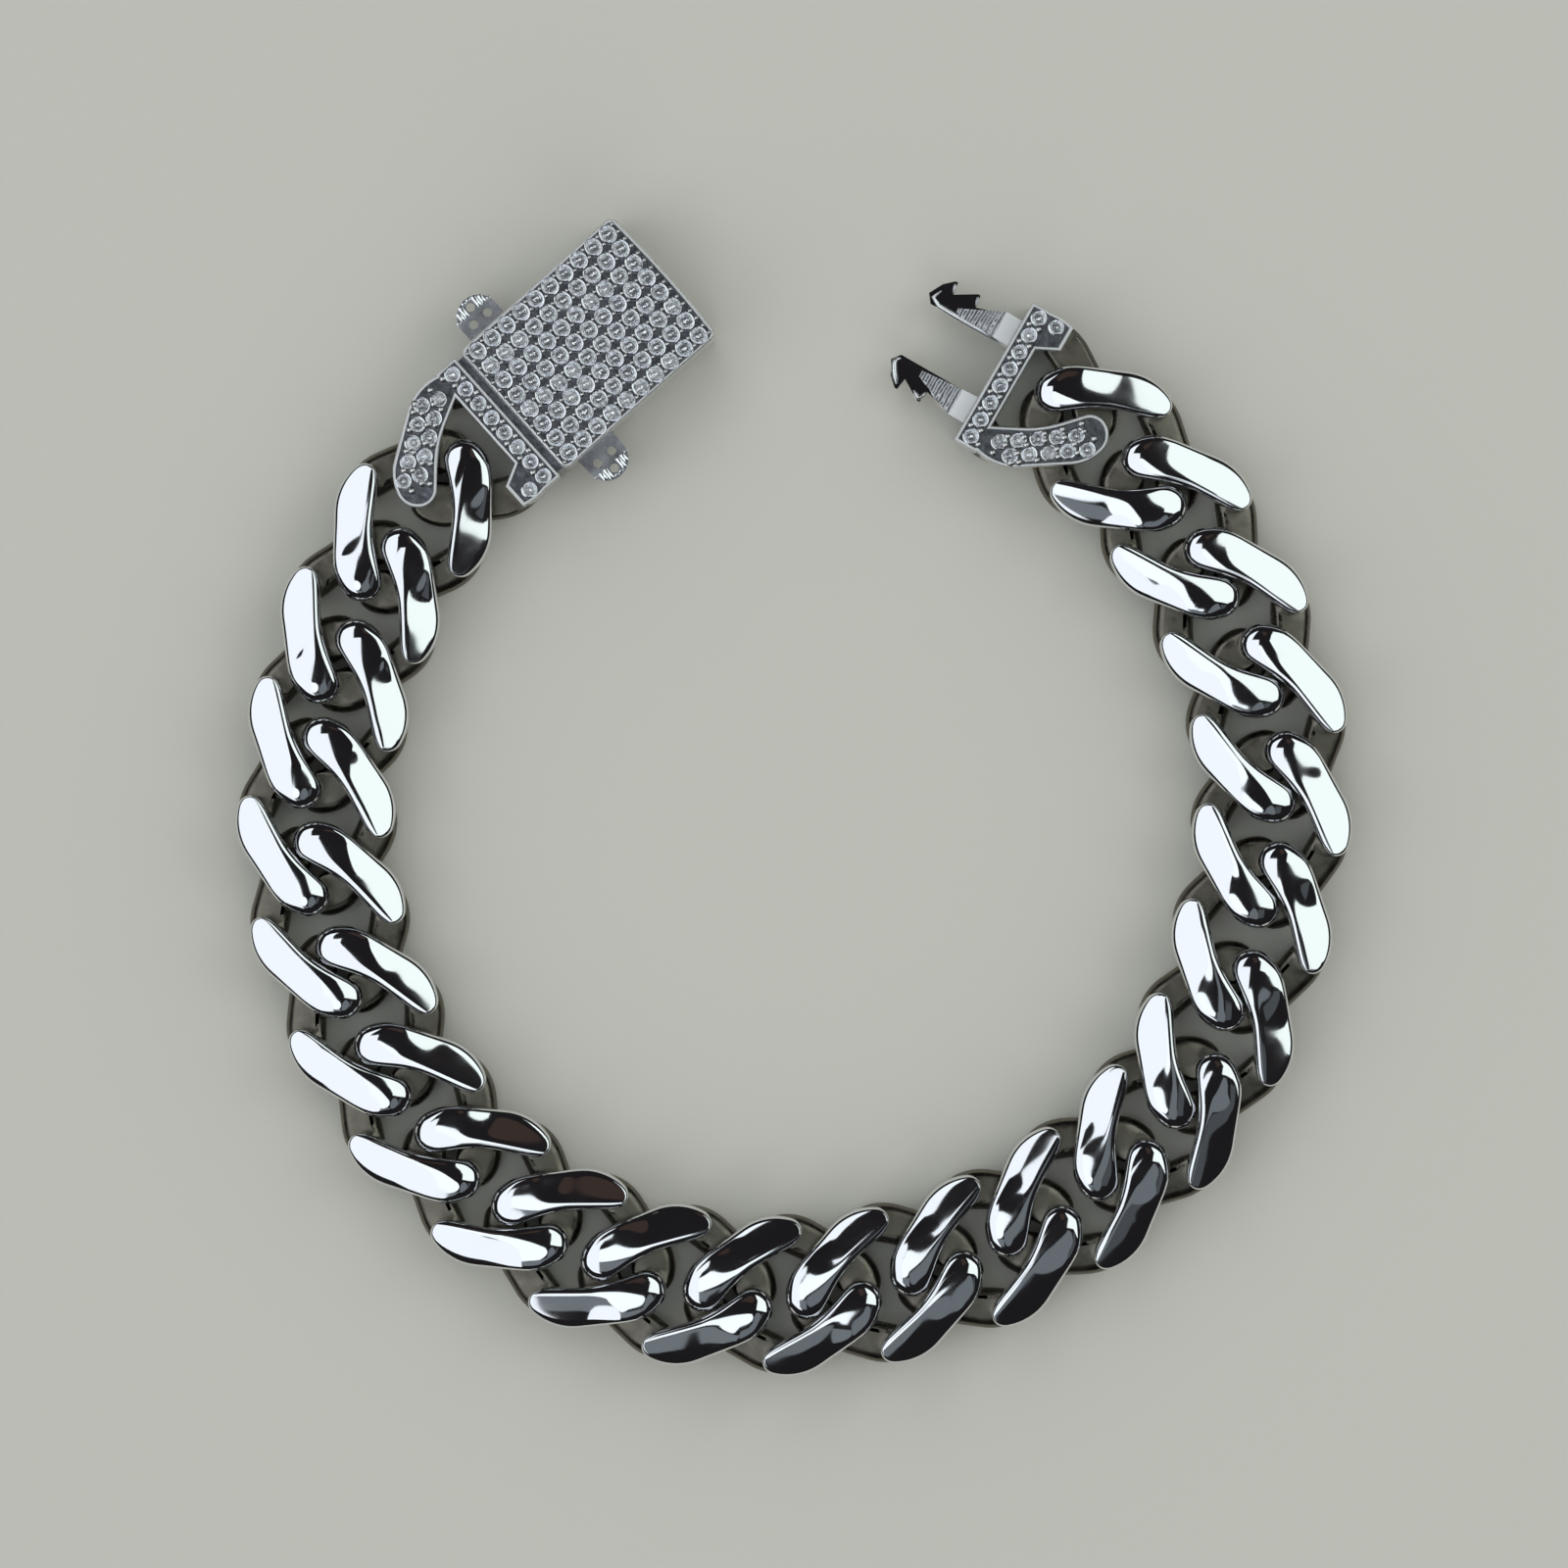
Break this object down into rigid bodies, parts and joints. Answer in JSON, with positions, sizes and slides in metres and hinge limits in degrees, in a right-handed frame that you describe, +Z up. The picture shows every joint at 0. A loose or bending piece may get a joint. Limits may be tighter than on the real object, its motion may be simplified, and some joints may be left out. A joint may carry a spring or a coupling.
{
  "type": "cuban link bracelet",
  "caption": "Heavy polished curb chain bracelet lying open, with a stone-set box clasp, side push tabs and a barbed tongue.",
  "frame": {"origin": "on the surface that the bracelet lies on, under the middle of its outline", "axes": "+Z up off the surface, +Y towards the clasp's end of the loop, +X to the right seen from above"},
  "size_m": [0.0834, 0.0862, 0.0058],
  "materials": {
    "chain_metal": "mirror polished rhodium plate",
    "clasp_metal": "bright rhodium plate, raised beads between the stones",
    "tab_metal": "satin rhodium plate with fine grip grooves",
    "clear_stone": "faceted colourless stone"
  },
  "bodies": {
    "chain": {"link_01": "chain_metal", "link_02": "chain_metal", "link_03": "chain_metal", "link_04": "chain_metal", "link_05": "chain_metal", "link_06": "chain_metal", "link_07": "chain_metal", "link_08": "chain_metal", "link_09": "chain_metal", "link_10": "chain_metal", "link_11": "chain_metal", "link_12": "chain_metal", "link_13": "chain_metal", "link_14": "chain_metal", "link_15": "chain_metal", "link_16": "chain_metal", "link_17": "chain_metal", "link_18": "chain_metal", "link_19": "chain_metal", "link_20": "chain_metal", "link_21": "chain_metal", "link_22": "chain_metal", "clasp_box": "clasp_metal", "tongue": "clasp_metal", "box_stones": "clear_stone", "claw_stones": "clear_stone", "tongue_stones": "clear_stone"},
    "tab_outer": {"tab_outer": "tab_metal"},
    "tab_inner": {"tab_inner": "tab_metal"}
  },
  "joints": [
    {"name": "tab_outer_push", "type": "slide", "parent": "chain", "child": "tab_outer", "axis": [0.6678, -0.7443, 0], "range_m": [0, 0.0011], "stiffness_N_per_m": 400},
    {"name": "tab_inner_push", "type": "slide", "parent": "chain", "child": "tab_inner", "axis": [-0.6678, 0.7443, 0], "range_m": [0, 0.0011], "stiffness_N_per_m": 400}
  ]
}
